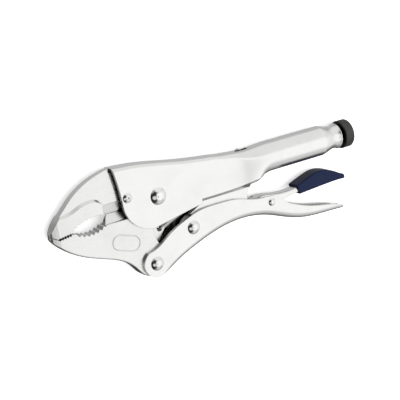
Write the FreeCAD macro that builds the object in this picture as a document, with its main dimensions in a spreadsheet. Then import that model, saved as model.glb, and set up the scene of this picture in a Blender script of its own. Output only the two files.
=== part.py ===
# Locking pliers with curved jaws, a wire cutter and an easy-release lever.
#
# The tool lies on its side. In the drawing frame X runs along the axis of the rolled tail tube, with the
# jaws at -X, Y points from the lower handle to the upper handle, and Z is square to the flat sides with
# the middle plane of the tool at Z = 0. The placement of every piece then lifts that middle plane to its
# resting height and moves the outline so that it is centred on the origin.
import FreeCAD, Part
import math
import os

import Sketcher
from FreeCAD import Vector

doc = FreeCAD.newDocument("locking_pliers")

# Driving dimensions, in millimetres and degrees.
SIZES = [
    ("shift_x", -9.2, "move of every piece along the length"),
    ("shift_y", 0.95, "move of every piece across the length"),
    ("rest_height", 11.2, "height of the middle plane above the surface"),
    ("steel", 2.3, "thickness of the pressed handle steel"),
    ("channel_half", 7.3, "half the outer width of both handle channels"),
    ("jaw_half", 4.8, "half the thickness of the forged jaws"),
    ("shank_half", 4.97, "half the thickness of the upper jaw's shank"),
    ("side_relief", 1.8, "depth of the relieved flats on the upper jaw"),
    ("hook_relief", 2.6, "depth of the recess beside the spring hole"),
    ("groove_half", 2.2, "half the thickness left in the upper jaw's shoulder groove"),
    ("nose_round", 1.3, "rounding of the nose across its thickness"),
    ("jaw_pivot_x", -35.0, "main jaw pivot"),
    ("jaw_pivot_y", 13.4, "main jaw pivot"),
    ("jaw_pivot_shank", 4.0, "radius of the main rivet's shank"),
    ("jaw_pivot_head", 6.0, "radius of the main rivet's heads"),
    ("jaw_pivot_rise", 2.7, "height of the main rivet's heads"),
    ("hub_radius", 14.5, "round hub of the lower jaw about its pivot"),
    ("hub_gap", 0.5, "gap between the hub and the upper jaw's shank"),
    ("fixing_x", -57.8, "rivet that holds the upper jaw"),
    ("fixing_y", 18.2, "rivet that holds the upper jaw"),
    ("fixing_shank", 2.2, "radius of the upper jaw rivet's shank"),
    ("fixing_head", 3.4, "radius of the upper jaw rivet's heads"),
    ("fixing_rise", 1.4, "height of the upper jaw rivet's heads"),
    ("fixing_dimple", 1.1, "radius of the dimple in the upper jaw rivet's heads"),
    ("heel_x", -44.4, "pivot of the lower handle on the lower jaw"),
    ("heel_y", -32.5, "pivot of the lower handle on the lower jaw"),
    ("heel_shank", 3.5, "radius of the heel rivet's shank"),
    ("heel_head", 4.9, "radius of the heel rivet's heads"),
    ("heel_rise", 2.3, "height of the heel rivet's heads"),
    ("toggle_x", -12.2, "pivot of the toggle link on the lower handle"),
    ("toggle_y", -15.6, "pivot of the toggle link on the lower handle"),
    ("toggle_shank", 3.0, "radius of the toggle rivet's shank"),
    ("toggle_head", 4.8, "radius of the toggle rivet's heads"),
    ("toggle_rise", 2.2, "height of the toggle rivet's heads"),
    ("lever_x", 54.2, "pivot of the release lever on the lower handle"),
    ("lever_y", -15.3, "pivot of the release lever on the lower handle"),
    ("lever_shank", 2.0, "radius of the lever rivet's shank"),
    ("lever_head", 2.9, "radius of the lever rivet's heads"),
    ("lever_rise", 1.4, "height of the lever rivet's heads"),
    ("pivot_clearance", 0.05, "radial clearance of every turning hole"),
    ("link_half", 2.2, "half the thickness of the toggle link"),
    ("link_end_x", 51.0, "centre of the link's rounded bearing end"),
    ("link_end_y", 17.2, "centre of the link's rounded bearing end"),
    ("link_end_radius", 4.0, "radius of the link's bearing end"),
    ("link_boss", 6.6, "radius of the link's boss about the toggle pivot"),
    ("link_gap", 2.6, "clearance of the opened pivot, between link end and screw tip"),
    ("joggle_outer", 4.8, "half the outer width of the upper handle's set-in belly"),
    ("joggle_inner", 2.5, "half the inner width of the upper handle's set-in belly"),
    ("crease_y", 2.6, "height of the crease where the belly starts to step in"),
    ("tube_axis_y", 17.2, "axis of the rolled tube, the screw and the knob"),
    ("tube_radius", 11.2, "outer radius of the rolled tube"),
    ("tube_start_x", 70.0, "start of the straight tube"),
    ("neck_start_x", 106.5, "end of the straight tube, start of the neck"),
    ("neck_end_x", 122.3, "open end of the neck"),
    ("neck_bore", 6.4, "bore of the neck, filled by the threaded bush"),
    ("seam_half", 1.2, "half the width of the open seam under the tube"),
    ("bush_start_x", 110.0, "front face of the threaded bush"),
    ("bush_length", 11.0, "length of the threaded bush"),
    ("screw_radius", 4.0, "radius of the adjusting screw"),
    ("screw_end_x", 131.0, "end of the adjusting screw inside the knob"),
    ("screw_clearance", 0.05, "radial clearance of the screw in the bush"),
    ("knob_start_x", 125.3, "front face of the knob"),
    ("knob_length", 8.0, "length of the knob"),
    ("knob_radius", 10.6, "radius of the knob"),
    ("knob_chamfer", 0.7, "chamfer on the knob's rims"),
    ("spring_wire", 0.7, "radius of the spring's wire"),
    ("spring_radius", 3.4, "outer radius of the spring's coil"),
    ("spring_hook_x", -36.0, "spring hole in the lower jaw"),
    ("spring_hook_y", -10.5, "spring hole in the lower jaw"),
    ("spring_hole", 1.9, "radius of the spring hole"),
    ("slot_start_x", 33.5, "front of the spring slot in the upper handle"),
    ("slot_length", 10.0, "length of the spring slot"),
    ("slot_half", 2.3, "half the width of the spring slot"),
    ("lever_half", 4.7, "half the outer width of the release lever"),
    ("lever_steel", 1.8, "thickness of the release lever's steel"),
    ("tongue_half", 1.8, "half the thickness of the lever's front tongue"),
    ("lever_hole_x", 46.6, "hole in the lever's sides"),
    ("lever_hole_y", -12.4, "hole in the lever's sides"),
    ("lever_hole", 1.5, "radius of the hole in the lever's sides"),
    ("sleeve_half", 6.1, "half the width of the plastic sleeve"),
]

sheet = doc.addObject("Spreadsheet::Sheet", "Sizes")
for row, (alias, value, meaning) in enumerate(SIZES, 1):
    sheet.set(f"A{row}", meaning)
    sheet.set(f"B{row}", str(value))
    sheet.setAlias(f"B{row}", alias)
doc.recompute()

pieces = []


def size(alias):
    return float(sheet.get(alias))


def finish(piece, label):
    """Names a finished piece and puts it at its place above the surface."""
    piece.Label = label
    piece.setExpression(".Placement.Base.x", "Sizes.shift_x")
    piece.setExpression(".Placement.Base.y", "Sizes.shift_y")
    piece.setExpression(".Placement.Base.z", "Sizes.rest_height")
    pieces.append(piece)


# ---------------------------------------------------------------- outlines

def outline(start, *legs):
    """A closed outline: each leg is 'line' with corners, 'arc' with a middle and an end, or 'curve'."""
    edges = []
    here = Vector(*start)
    for kind, *points in legs:
        ends = [Vector(*point) for point in points]
        if kind == "line":
            for end in ends:
                edges.append(Part.LineSegment(here, end))
                here = end
        elif kind == "arc":
            edges.append(Part.Arc(here, ends[0], ends[1]))
        else:
            curve = Part.BSplineCurve()
            curve.interpolate([here] + ends)
            edges.append(curve)
        here = ends[-1]
    if (here - Vector(*start)).Length > 1e-6:
        edges.append(Part.LineSegment(here, Vector(*start)))
    return edges


def around(centre_x, centre_y, radius, degrees):
    """The point of a circle at an angle from +X."""
    angle = math.radians(degrees)
    return (centre_x + radius * math.cos(angle), centre_y + radius * math.sin(angle))


def teeth(line_start, line_end, count, depth, sag=0.0):
    """Corners of a row of teeth: crests on an arc of the given sag, roots at the depth to its left."""
    start = Vector(*line_start)
    run = Vector(*line_end) - start
    side = Vector(-run.y, run.x).normalize()
    corners = []
    for step in range(1, 2 * count + 1):
        along = step / (2.0 * count)
        lift = 4.0 * sag * along * (1.0 - along)
        if step % 2:
            lift += depth
        point = start + run * along + side * lift
        corners.append((point.x, point.y))
    return corners


# ---------------------------------------------------------------- features

def new_body(name):
    return doc.addObject("PartDesign::Body", name)


def body_plane(body, role):
    return next(plane for plane in body.Origin.OriginFeatures if plane.Role == role)


def body_sketch(body, name, geometry, role="XY_Plane", offset=0.0):
    sketch = body.newObject("Sketcher::SketchObject", name)
    sketch.AttachmentSupport = (body_plane(body, role), [""])
    sketch.MapMode = "FlatFace"
    sketch.AttachmentOffset = FreeCAD.Placement(Vector(0, 0, offset), FreeCAD.Rotation())
    sketch.addGeometry(geometry, False)
    return sketch


def pad(body, name, geometry, half_thickness):
    """Material to both sides of the middle plane."""
    feature = body.newObject("PartDesign::Pad", name)
    feature.Profile = body_sketch(body, name + "_sketch", geometry)
    feature.SideType = "Symmetric"
    feature.setExpression("Length", f"2 * ({half_thickness})")
    doc.recompute()
    return feature


def pocket_middle(body, name, geometry, half_thickness):
    """A slot of the given half thickness about the middle plane."""
    feature = body.newObject("PartDesign::Pocket", name)
    feature.Profile = body_sketch(body, name + "_sketch", geometry)
    feature.SideType = "Symmetric"
    feature.Type = "Length"
    feature.setExpression("Length", f"2 * ({half_thickness})")
    doc.recompute()
    return feature


def pocket_sides(body, name, geometry, level, sides=(1, -1)):
    """The material outside the given level is taken off both flat sides."""
    for side in sides:
        feature = body.newObject("PartDesign::Pocket", f"{name}_{'top' if side > 0 else 'under'}")
        sketch = body_sketch(body, feature.Name + "_sketch", geometry)
        sketch.setExpression(".AttachmentOffset.Base.z", f"{side} * ({level})")
        feature.Profile = sketch
        feature.Type = "Length"
        feature.Length = 6.0
        feature.Reversed = side > 0
        doc.recompute()


def hole(body, name, x_alias, y_alias, radius):
    """A round hole through the piece, its place and radius read from the sheet."""
    sketch = body.newObject("Sketcher::SketchObject", name + "_sketch")
    sketch.AttachmentSupport = (body_plane(body, "XY_Plane"), [""])
    sketch.MapMode = "FlatFace"
    circle = Part.Circle(Vector(size(x_alias), size(y_alias)), Vector(0, 0, 1), 1.0)
    index = sketch.addGeometry(circle, False)
    sketch.addConstraint(Sketcher.Constraint("Radius", index, 1.0))
    sketch.addConstraint(Sketcher.Constraint("DistanceX", -1, 1, index, 3, size(x_alias)))
    sketch.addConstraint(Sketcher.Constraint("DistanceY", -1, 1, index, 3, size(y_alias)))
    sketch.setExpression("Constraints[0]", radius)
    sketch.setExpression("Constraints[1]", f"Sizes.{x_alias}")
    sketch.setExpression("Constraints[2]", f"Sizes.{y_alias}")
    feature = body.newObject("PartDesign::Pocket", name)
    feature.Profile = sketch
    feature.SideType = "Symmetric"
    feature.Type = "Length"
    feature.Length = 60.0
    doc.recompute()
    return feature


def bevel_edges(body, name, kind, radius, wanted):
    """A fillet or chamfer on the edges of the body's tip whose middle the test picks."""
    tip = body.Tip
    names = []
    for number, edge in enumerate(tip.Shape.Edges, 1):
        middle = edge.valueAt((edge.FirstParameter + edge.LastParameter) / 2.0)
        if wanted(middle, edge):
            names.append(f"Edge{number}")
    feature = body.newObject("PartDesign::" + kind, name)
    feature.Base = (tip, names)
    if kind == "Fillet":
        feature.Radius = radius
    else:
        feature.Size = radius
    doc.recompute()
    return feature


def revolve(body, name, geometry, role, axis):
    """A turned piece: the profile goes once round the named axis of its own sketch."""
    feature = body.newObject("PartDesign::Revolution", name)
    sketch = body_sketch(body, name + "_sketch", geometry, role)
    feature.Profile = sketch
    feature.ReferenceAxis = (sketch, [axis])
    feature.Angle = 360.0
    doc.recompute()
    return feature


def free_extrusion(name, geometry, placement, length):
    """A plain prism for use in a boolean, from a sketch that stands on its own."""
    sketch = doc.addObject("Sketcher::SketchObject", name + "_sketch")
    sketch.addGeometry(geometry, False)
    sketch.Placement = placement
    prism = doc.addObject("Part::Extrusion", name)
    prism.Base = sketch
    prism.DirMode = "Normal"
    prism.LengthFwd = length
    prism.Solid = True
    prism.Symmetric = True
    return prism


def boolean(kind, name, base, tool):
    result = doc.addObject("Part::" + kind, name)
    result.Base = base
    result.Tool = tool
    return result


def fuse(name, parts):
    result = doc.addObject("Part::MultiFuse", name)
    result.Shapes = parts
    return result


def round_nose(label, body):
    """The front of a jaw, seen from above, narrows in short facets to a blunt tip."""
    half = size("jaw_half")
    facets = [
        (-108.8, half), (-111.2, 0.93 * half), (-113.2, 0.76 * half), (-114.4, 0.5 * half),
        (-114.9, 0.2 * half),
    ]
    mirrored = [(x, -z) for x, z in reversed(facets)]
    corners = [(-108.8, half + 3.0), *facets, *mirrored, (-108.8, -half - 3.0), (-118.0, -half - 3.0)]
    upright = FreeCAD.Placement(Vector(0, 0, 0), FreeCAD.Rotation(Vector(1, 0, 0), 90.0))
    profile = outline((-118.0, half + 3.0), ("line", *corners))
    prism = free_extrusion(label + "_nose", profile, upright, 120.0)
    return boolean("Cut", label, body, prism)


FLAT = FreeCAD.Placement()
# Sketch X becomes +Y of the drawing, sketch Y becomes +Z, and the normal is +X.
ACROSS = FreeCAD.Placement(
    Vector(0, 0, 0), FreeCAD.Rotation(Vector(0, 1, 0), Vector(0, 0, 1), Vector(1, 0, 0), "ZXY")
)


# ---------------------------------------------------------------- pressed channels

def section(x, half_width, low, high, corner, roundness=0.0, radius=0.0):
    """A closed section across the length: a round-cornered rectangle blended towards the tube's circle.

    Angles run from +Z towards +Y. Each corner and each side is one smooth edge, and in the full circle a
    side keeps twelve degrees to each side of its middle.
    """
    steps = 6
    keep = 12.0
    centres = [
        (high - corner, half_width - corner),
        (high - corner, corner - half_width),
        (low + corner, corner - half_width),
        (low + corner, half_width - corner),
    ]

    def polar(middle_y, middle_z, size_of, degrees):
        angle = math.radians(degrees)
        return Vector(x, middle_y + size_of * math.sin(angle), middle_z + size_of * math.cos(angle))

    runs = []
    for number, (middle_y, middle_z) in enumerate(centres):
        start = 90.0 * number
        following = centres[(number + 1) % 4]
        flat_start = polar(middle_y, middle_z, corner, start + 90.0)
        flat_end = polar(*following, corner, start + 90.0)
        bend, flat = [], []
        for step in range(steps + 1):
            part = step / steps
            square = polar(middle_y, middle_z, corner, start + 90.0 * part)
            circle = polar(axis_y, 0.0, radius, start + keep + (90.0 - 2.0 * keep) * part)
            bend.append(square * (1.0 - roundness) + circle * roundness)
            square = flat_start * (1.0 - part) + flat_end * part
            circle = polar(axis_y, 0.0, radius, start + 90.0 - keep + 2.0 * keep * part)
            flat.append(square * (1.0 - roundness) + circle * roundness)
        runs += [bend, flat]
    edges = []
    for run in runs:
        curve = Part.BSplineCurve()
        curve.interpolate(run)
        edges.append(curve.toShape())
    return Part.Wire(edges)


def loft(name, sections):
    """A smooth solid through the sections of a pressed piece."""
    feature = doc.addObject("Part::Feature", name)
    feature.Shape = Part.makeLoft(sections, True, False)
    return feature


# ================================================================ upper handle
# Pressed from one sheet: an open channel with round lobes over the jaw pivot, a belly set in so that the
# lower handle passes outside it, and a tail rolled into a tube with a necked end.

steel = size("steel")
channel = size("channel_half")
axis_y = size("tube_axis_y")
tube = size("tube_radius")
tube_high = axis_y + tube

# Each station: x, height of the top line, low edge of the square section, corner radius, roundness.
UPPER_STATIONS = [
    (-68.0, 40.2, -30.0, 3.4, 0.0),
    (-53.0, 39.3, -30.0, 3.4, 0.0),
    (-38.0, 37.4, -30.0, 3.4, 0.0),
    (-23.0, 34.6, -30.0, 3.4, 0.0),
    (-8.0, 32.0, -30.0, 3.4, 0.0),
    (8.0, 29.8, -30.0, 3.4, 0.0),
    (16.0, 28.8, -30.0, 3.4, 0.01),
    (24.0, 27.9, -30.0, 3.7, 0.07),
    (31.0, 27.4, -30.0, 4.0, 0.2),
    (38.0, 27.1, -28.0, 4.4, 0.45),
    (46.0, 27.5, -24.0, 4.8, 0.76),
    (53.0, 28.1, -24.0, 4.8, 0.95),
    (59.0, tube_high, -24.0, 4.8, 1.0),
    (64.0, tube_high, -24.0, 4.8, 1.0),
    (size("tube_start_x"), tube_high, -24.0, 4.8, 1.0),
]


def upper_section(x, top, low, corner, roundness, inset):
    """The square part reaches higher or lower than asked, so that the blend passes the top line."""
    square_top = top if roundness == 1.0 else (top - roundness * tube_high) / (1.0 - roundness)
    return section(
        x, channel - inset, low + inset, square_top - inset, corner - inset, roundness, tube - inset
    )


def upper_form(name, inset):
    """The flat-sided front and the blended rear, joined at the last square station."""
    squares = [station for station in UPPER_STATIONS if station[4] == 0.0]
    rounds = [squares[-1]] + [station for station in UPPER_STATIONS if station[4] > 0.0]
    front = loft(name + "_front", [upper_section(*station, inset) for station in squares])
    rear = loft(name + "_rear", [upper_section(*station, inset) for station in rounds])
    return fuse(name, [front, rear])


outer_channel = upper_form("upper_outer", 0.0)
inner_channel = upper_form("upper_inner", steel)

# Seen from the side: the front edge, the lobe, the hidden belly and its rear edge.
BELLY_LOW = [(0.0, -8.2), (16.0, -10.4), (30.0, -11.0)]
BELLY_HEEL = [(34.6, -9.6), (36.0, -5.5)]
BELLY_REAR = [(37.2, -1.6), (42.5, 2.2), (49.1, 5.4), (53.5, 8.2)]
side_cut = free_extrusion(
    "upper_side",
    outline(
        (-65.0, 45.0),
        ("line", (-65.0, 40.0)),
        ("curve", (-62.8, 27.0), (-61.8, 14.0)),
        ("arc", (-56.0, -0.8), (-41.0, -7.4)),
        ("arc", (-20.0, -3.7), (-1.8, -0.6)),
        ("line", BELLY_LOW[0]),
        ("curve", *BELLY_LOW[1:]),
        ("arc", *BELLY_HEEL),
        ("curve", *BELLY_REAR),
        ("line", (56.0, 2.0), (80.0, 2.0), (80.0, 45.0)),
    ),
    FLAT,
    60.0,
)

crease = size("crease_y")
joggle_out = size("joggle_outer")
joggle_in = size("joggle_inner")
drop = channel - joggle_out
BELLY_START = -1.8
BELLY_END = 39.0


def joggle_prism(name, side, corners, start, length):
    """A prism along X whose section lies to one side of the middle plane."""
    corners = [(y, side * z) for y, z in corners]
    prism = free_extrusion(name, outline(corners[0], ("line", *corners[1:])), ACROSS, length)
    prism.Symmetric = False
    prism.Base.Placement.Base.x = start
    return prism


def joggle_band(name, side):
    """The set-in wall on one side: a 45 degree step that starts inside the outer wall, then a flat wall."""
    low = crease - drop
    inner_low = low + steel * (math.sqrt(2.0) - 1.0)
    root = channel - 0.4
    corners = [
        (low, joggle_out),
        (-20.0, joggle_out),
        (-20.0, joggle_in),
        (inner_low, joggle_in),
        (inner_low + root - joggle_in, root),
        (low + root - joggle_out, root),
    ]
    return joggle_prism(name, side, corners, -20.0, BELLY_END + 20.0)


def joggle_relief(name, side):
    """What is cut away outside the set-in wall on one side."""
    corners = [
        (crease - drop, joggle_out),
        (-40.0, joggle_out),
        (-40.0, 20.0),
        (crease - drop + 20.0 - joggle_out, 20.0),
    ]
    return joggle_prism(name, side, corners, BELLY_START - 0.2, 64.0)


belly_plan = free_extrusion(
    "belly_plan",
    outline(
        (-12.5, -6.2),
        ("line", (BELLY_START, -0.9), (BELLY_START, 14.0), (56.0, 14.0), BELLY_REAR[-1]),
        ("curve", *BELLY_REAR[-2::-1], BELLY_HEEL[1]),
        ("arc", BELLY_HEEL[0], BELLY_LOW[-1]),
        ("curve", *BELLY_LOW[-2::-1], (-12.5, -6.2)),
    ),
    FLAT,
    60.0,
)

shell = boolean("Common", "upper_trimmed", outer_channel, side_cut)
shell = boolean("Cut", "upper_hollow", shell, inner_channel)
for side, word in ((1, "top"), (-1, "under")):
    shell = boolean("Cut", f"upper_relieved_{word}", shell, joggle_relief(f"relief_{word}", side))

belly_walls = []
for side, word in ((1, "top"), (-1, "under")):
    belly_walls.append(boolean("Common", f"belly_{word}", joggle_band(f"band_{word}", side), belly_plan))

neck_start = size("neck_start_x")
neck_end = size("neck_end_x")
neck_profile = outline(
    (size("tube_start_x"), axis_y + tube - steel),
    ("line", (size("tube_start_x"), axis_y + tube), (neck_start, axis_y + tube)),
    ("curve", (neck_start + 3.0, axis_y + 10.5), (neck_start + 6.5, axis_y + 9.4), (neck_end, axis_y + 9.6)),
    ("line", (neck_end, axis_y + size("neck_bore")), (neck_start + 3.4, axis_y + size("neck_bore"))),
    ("line", (neck_start - 1.0, axis_y + tube - steel)),
)
neck_sketch = doc.addObject("Sketcher::SketchObject", "neck_sketch")
neck_sketch.addGeometry(neck_profile, False)
neck = doc.addObject("Part::Revolution", "upper_neck")
neck.Source = neck_sketch
neck.Axis = Vector(1, 0, 0)
neck.setExpression(".Base.y", "Sizes.tube_axis_y")
neck.Angle = 360.0
neck.Solid = True

handle = fuse("upper_joined", [shell, *belly_walls, neck])

seam = doc.addObject("Part::Box", "tube_seam")
seam.setExpression("Width", "Sizes.tube_radius")
seam.setExpression("Height", "2 * Sizes.seam_half")
seam.setExpression("Length", "Sizes.neck_start_x - 2 - 50")
seam.Placement.Base = Vector(50.0, axis_y - 12.5, -size("seam_half"))

swing_room = doc.addObject("Part::Box", "link_swing_room")
swing_room.Length = 20.0
swing_room.Width = 16.0
swing_room.setExpression("Height", "2 * (Sizes.link_half + 0.8)")
swing_room.Placement.Base = Vector(40.0, -6.0, -size("link_half") - 0.8)

slot = doc.addObject("Part::Box", "spring_slot")
slot.setExpression("Length", "Sizes.slot_length")
slot.setExpression("Height", "2 * Sizes.slot_half")
slot.Width = 10.0
slot.Placement.Base = Vector(size("slot_start_x"), 22.0, -size("slot_half"))


def cross_hole(name, x_alias, y_alias, radius_alias):
    drill = doc.addObject("Part::Cylinder", name)
    drill.setExpression("Radius", f"Sizes.{radius_alias}")
    drill.Height = 40.0
    drill.setExpression(".Placement.Base.x", f"Sizes.{x_alias}")
    drill.setExpression(".Placement.Base.y", f"Sizes.{y_alias}")
    drill.Placement.Base.z = -20.0
    return drill


cutters = fuse(
    "upper_cutters",
    [
        seam,
        swing_room,
        slot,
        cross_hole("upper_pivot_hole", "jaw_pivot_x", "jaw_pivot_y", "jaw_pivot_shank"),
        cross_hole("upper_fixing_hole", "fixing_x", "fixing_y", "fixing_shank"),
    ],
)
upper_handle = boolean("Cut", "upper_handle", handle, cutters)
finish(upper_handle, "upper_handle")

# ================================================================ upper jaw
# A forging whose shank is riveted in the front of the channel. Its flats are relieved above an S-shaped
# step, and a wire cutter is ground into both sides next to the pivot.

hub = size("hub_radius")
pivot = (size("jaw_pivot_x"), size("jaw_pivot_y"))
seat_radius = hub + size("hub_gap")
BITE_GAP = 0.5
TOOTH_DEPTH = 0.9
BACK_TOOTH = 1.6
nose_teeth = ((-109.6, 3.2), (-100.2, 4.4))

upper_jaw = new_body("upper_jaw_body")
pad(
    upper_jaw,
    "upper_forging",
    outline(
        (-115.4, 6.6),
        ("line", (nose_teeth[0][0], nose_teeth[0][1] + BITE_GAP / 2)),
        ("line", *[
            (x, y + BITE_GAP / 2)
            for x, y in teeth(nose_teeth[0], nose_teeth[1], 5, TOOTH_DEPTH)
        ]),
        ("line", (-98.6, 6.6)),
        ("line", *teeth((-98.6, 6.6), (-76.4, 11.2), 8, TOOTH_DEPTH, 1.9)),
        ("line", (-74.0, 11.4), (-71.8, 10.05), (-63.4, 10.05), (-62.0, 11.4)),
        ("line", around(*pivot, seat_radius, 188.0)),
        ("arc", around(*pivot, seat_radius, 155.0), around(*pivot, seat_radius, 122.0)),
        ("line", (-42.9, 34.4), (-53.0, 35.8), (-63.9, 36.6), (-65.9, 37.4), (-65.6, 40.15)),
        ("curve", (-77.0, 37.4), (-89.0, 32.1), (-96.4, 26.8), (-103.4, 20.2), (-109.6, 13.9), (-112.9, 9.6),
         (-115.4, 6.6)),
    ),
    "Sizes.jaw_half",
)
pad(
    upper_jaw,
    "upper_shank",
    outline(
        (-60.5, 11.6),
        ("line", around(*pivot, seat_radius, 187.0)),
        ("arc", around(*pivot, seat_radius, 155.0), around(*pivot, seat_radius, 123.0)),
        ("line", (-43.1, 34.3), (-53.0, 35.7), (-62.5, 36.3), (-61.6, 24.0)),
    ),
    "Sizes.shank_half",
)
RELIEF_STEP = [
    (-105.8, 18.2), (-103.0, 18.1), (-97.4, 19.3), (-90.9, 21.8), (-85.2, 23.0), (-80.6, 22.9),
    (-77.4, 21.6),
]
RELIEF_OUTSIDE = [(-73.9, 17.2), (-56.0, 17.2), (-56.0, 45.0), (-90.0, 45.0), (-110.0, 24.0)]


def relief_tool(name, side):
    """What is taken off above the S-shaped step, whose wall leans back at 45 degrees."""
    level = size("jaw_half") - size("side_relief")
    height = 3.0
    wires = []
    for lift in (0.0, height):
        step = [Vector(x, y - lift, side * (level + lift)) for x, y in RELIEF_STEP]
        corners = [step[-1]] + [Vector(x, y, side * (level + lift)) for x, y in RELIEF_OUTSIDE] + [step[0]]
        curve = Part.BSplineCurve()
        curve.interpolate(step)
        edges = [curve.toShape()]
        for here, there in zip(corners, corners[1:]):
            edges.append(Part.LineSegment(here, there).toShape())
        wires.append(Part.Wire(edges))
    tool = doc.addObject("Part::Feature", name)
    tool.Shape = Part.makeLoft(wires, True, True)
    return tool


def groove_tool(name, side):
    """The deep shoulder groove just in front of the handle's edge, on one side."""
    geometry = outline(
        (-66.9, 41.0),
        ("line", (-66.6, 38.8)),
        ("curve", (-64.6, 27.0), (-63.6, 14.2)),
        ("line", (-62.6, 8.0), (-58.4, 8.0)),
        ("curve", (-60.2, 14.0), (-61.2, 27.0), (-62.8, 38.8)),
        ("line", (-62.8, 41.0)),
    )
    start = size("groove_half") if side > 0 else -size("groove_half") - 6.0
    level = FreeCAD.Placement(Vector(0, 0, start), FreeCAD.Rotation())
    prism = free_extrusion(name, geometry, level, 6.0)
    prism.Symmetric = False
    return prism


def cutter_bevels(body, name, edge_y, ledge_y):
    """Both sides are ground back from the ledge to a cutting edge on the middle plane."""
    edge_half = 0.3
    for side, word in ((1, "top"), (-1, "under")):
        corners = [(edge_y, edge_half), (ledge_y, 2.6), (ledge_y, 12.0), (edge_y, 12.0)]
        corners = [(y, side * z) for y, z in corners]
        beyond = edge_y - 2.0 * math.copysign(1.0, ledge_y - edge_y)
        corners.insert(0, (beyond, side * edge_half))
        corners[-1] = (beyond, side * 12.0)
        feature = body.newObject("PartDesign::Pocket", f"{name}_{word}")
        feature.Profile = body_sketch(
            body, f"{name}_{word}_sketch", outline(corners[0], ("line", *corners[1:])), "YZ_Plane", -75.4
        )
        feature.Type = "Length"
        feature.Length = 17.0
        feature.Reversed = True
        doc.recompute()


cutter_bevels(upper_jaw, "upper_cutter", 10.05, 17.2)
hole(upper_jaw, "upper_jaw_hole", "fixing_x", "fixing_y", "Sizes.fixing_shank")
relieved = boolean(
    "Cut",
    "upper_jaw_relieved",
    upper_jaw,
    fuse(
        "upper_jaw_tools",
        [
            relief_tool("relief_tool_top", 1),
            relief_tool("relief_tool_under", -1),
            groove_tool("groove_tool_top", 1),
            groove_tool("groove_tool_under", -1),
        ],
    ),
)
finish(round_nose("upper_jaw", relieved), "upper_jaw")

# ================================================================ lower jaw
# The moving forging: a round hub between the lobes of the upper handle, a curved toothed jaw, the other
# half of the wire cutter, and a heel that carries the lower handle.

heel = (size("heel_x"), size("heel_y"))
lower_jaw = new_body("lower_jaw_body")
pad(
    lower_jaw,
    "lower_forging",
    outline(
        (-115.4, 6.3),
        ("line", (nose_teeth[0][0], nose_teeth[0][1] - BITE_GAP / 2)),
        ("line", *[
            (x, y - BITE_GAP / 2)
            for x, y in teeth(nose_teeth[0], nose_teeth[1], 5, -TOOTH_DEPTH)
        ]),
        ("line", (-97.0, 3.6)),
        ("line", *teeth((-97.0, 3.6), (-74.2, 5.4), 7, -BACK_TOOTH, -3.3)),
        ("arc", (-73.6, 7.4), (-71.8, 9.75)),
        ("line", (-63.4, 9.75), (-62.0, 8.4), around(*pivot, hub, 197.0)),
        ("arc", around(*pivot, hub, 75.0), around(*pivot, hub, -48.0)),
        ("curve", (-30.2, -5.0), (-31.9, -11.0), (-36.2, -16.8), (-37.6, -24.0), (-35.9, -31.5)),
        ("arc", around(*heel, 8.6, -45.0), around(*heel, 8.6, -100.0)),
        ("curve", (-50.6, -40.3), (-54.7, -38.0), (-59.7, -31.8), (-67.5, -24.6), (-77.2, -20.1),
         (-91.3, -14.7), (-103.0, -8.3), (-111.2, -1.0), (-114.9, 4.6)),
    ),
    "Sizes.jaw_half",
)
bevel_edges(
    lower_jaw, "chin_rounding", "Fillet", size("nose_round"),
    lambda middle, edge: middle.x < -80.0 and middle.y < 6.0 and abs(middle.z) > 4.0
    and edge.Length > 20.0,
)
pocket_sides(
    lower_jaw,
    "hook_recess",
    outline(
        (-41.6, -3.0),
        ("arc", (-41.6, -12.5), (-38.6, -20.8)),
        ("line", (-30.0, -20.8), (-26.0, -3.0)),
    ),
    "Sizes.jaw_half - Sizes.hook_relief",
)
cutter_bevels(lower_jaw, "lower_cutter", 9.75, 3.6)
hole(lower_jaw, "hub_bore", "jaw_pivot_x", "jaw_pivot_y", "Sizes.jaw_pivot_shank + Sizes.pivot_clearance")
hole(lower_jaw, "heel_bore", "heel_x", "heel_y", "Sizes.heel_shank + Sizes.pivot_clearance")
hole(lower_jaw, "spring_hole", "spring_hook_x", "spring_hook_y", "Sizes.spring_hole")
finish(round_nose("lower_jaw", lower_jaw), "lower_jaw")


# ================================================================ rivets

def rivet(label, x_alias, y_alias, prefix, dimple=0.0):
    """A shank through both walls with a domed head on each flat side, some with a dimple in the dome."""
    shank = size(prefix + "_shank")
    head = size(prefix + "_head")
    rise = size(prefix + "_rise")
    dome = (head * head + rise * rise) / (2.0 * rise)
    centre = channel + rise - dome

    def on_dome(radius):
        return (radius, centre + math.sqrt(dome * dome - radius * radius))

    middle = on_dome((head + dimple) / 2.0)
    lip = on_dome(dimple)
    floor = lip[1] - 0.5 * dimple
    profile = [("line", (0.0, floor))]
    if dimple:
        profile += [("line", (dimple * 0.5, floor), lip)]
    profile += [
        ("arc", middle, (head, channel)),
        ("line", (shank, channel), (shank, -channel), (head, -channel)),
        ("arc", (middle[0], -middle[1]), (lip[0], -lip[1])),
    ]
    if dimple:
        profile += [("line", (dimple * 0.5, -floor), (0.0, -floor))]
    body = new_body(label)
    revolve(body, label + "_turned", outline((0.0, 0.0), *profile), "XZ_Plane", "V_Axis")
    body.Label = label
    body.setExpression(".Placement.Base.x", f"Sizes.shift_x + Sizes.{x_alias}")
    body.setExpression(".Placement.Base.y", f"Sizes.shift_y + Sizes.{y_alias}")
    body.setExpression(".Placement.Base.z", "Sizes.rest_height")
    pieces.append(body)


rivet("jaw_pivot_rivet", "jaw_pivot_x", "jaw_pivot_y", "jaw_pivot")
rivet("upper_jaw_rivet", "fixing_x", "fixing_y", "fixing", size("fixing_dimple"))
rivet("jaw_handle_rivet", "heel_x", "heel_y", "heel")
rivet("toggle_rivet", "toggle_x", "toggle_y", "toggle")
rivet("lever_pivot_rivet", "lever_x", "lever_y", "lever")

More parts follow.
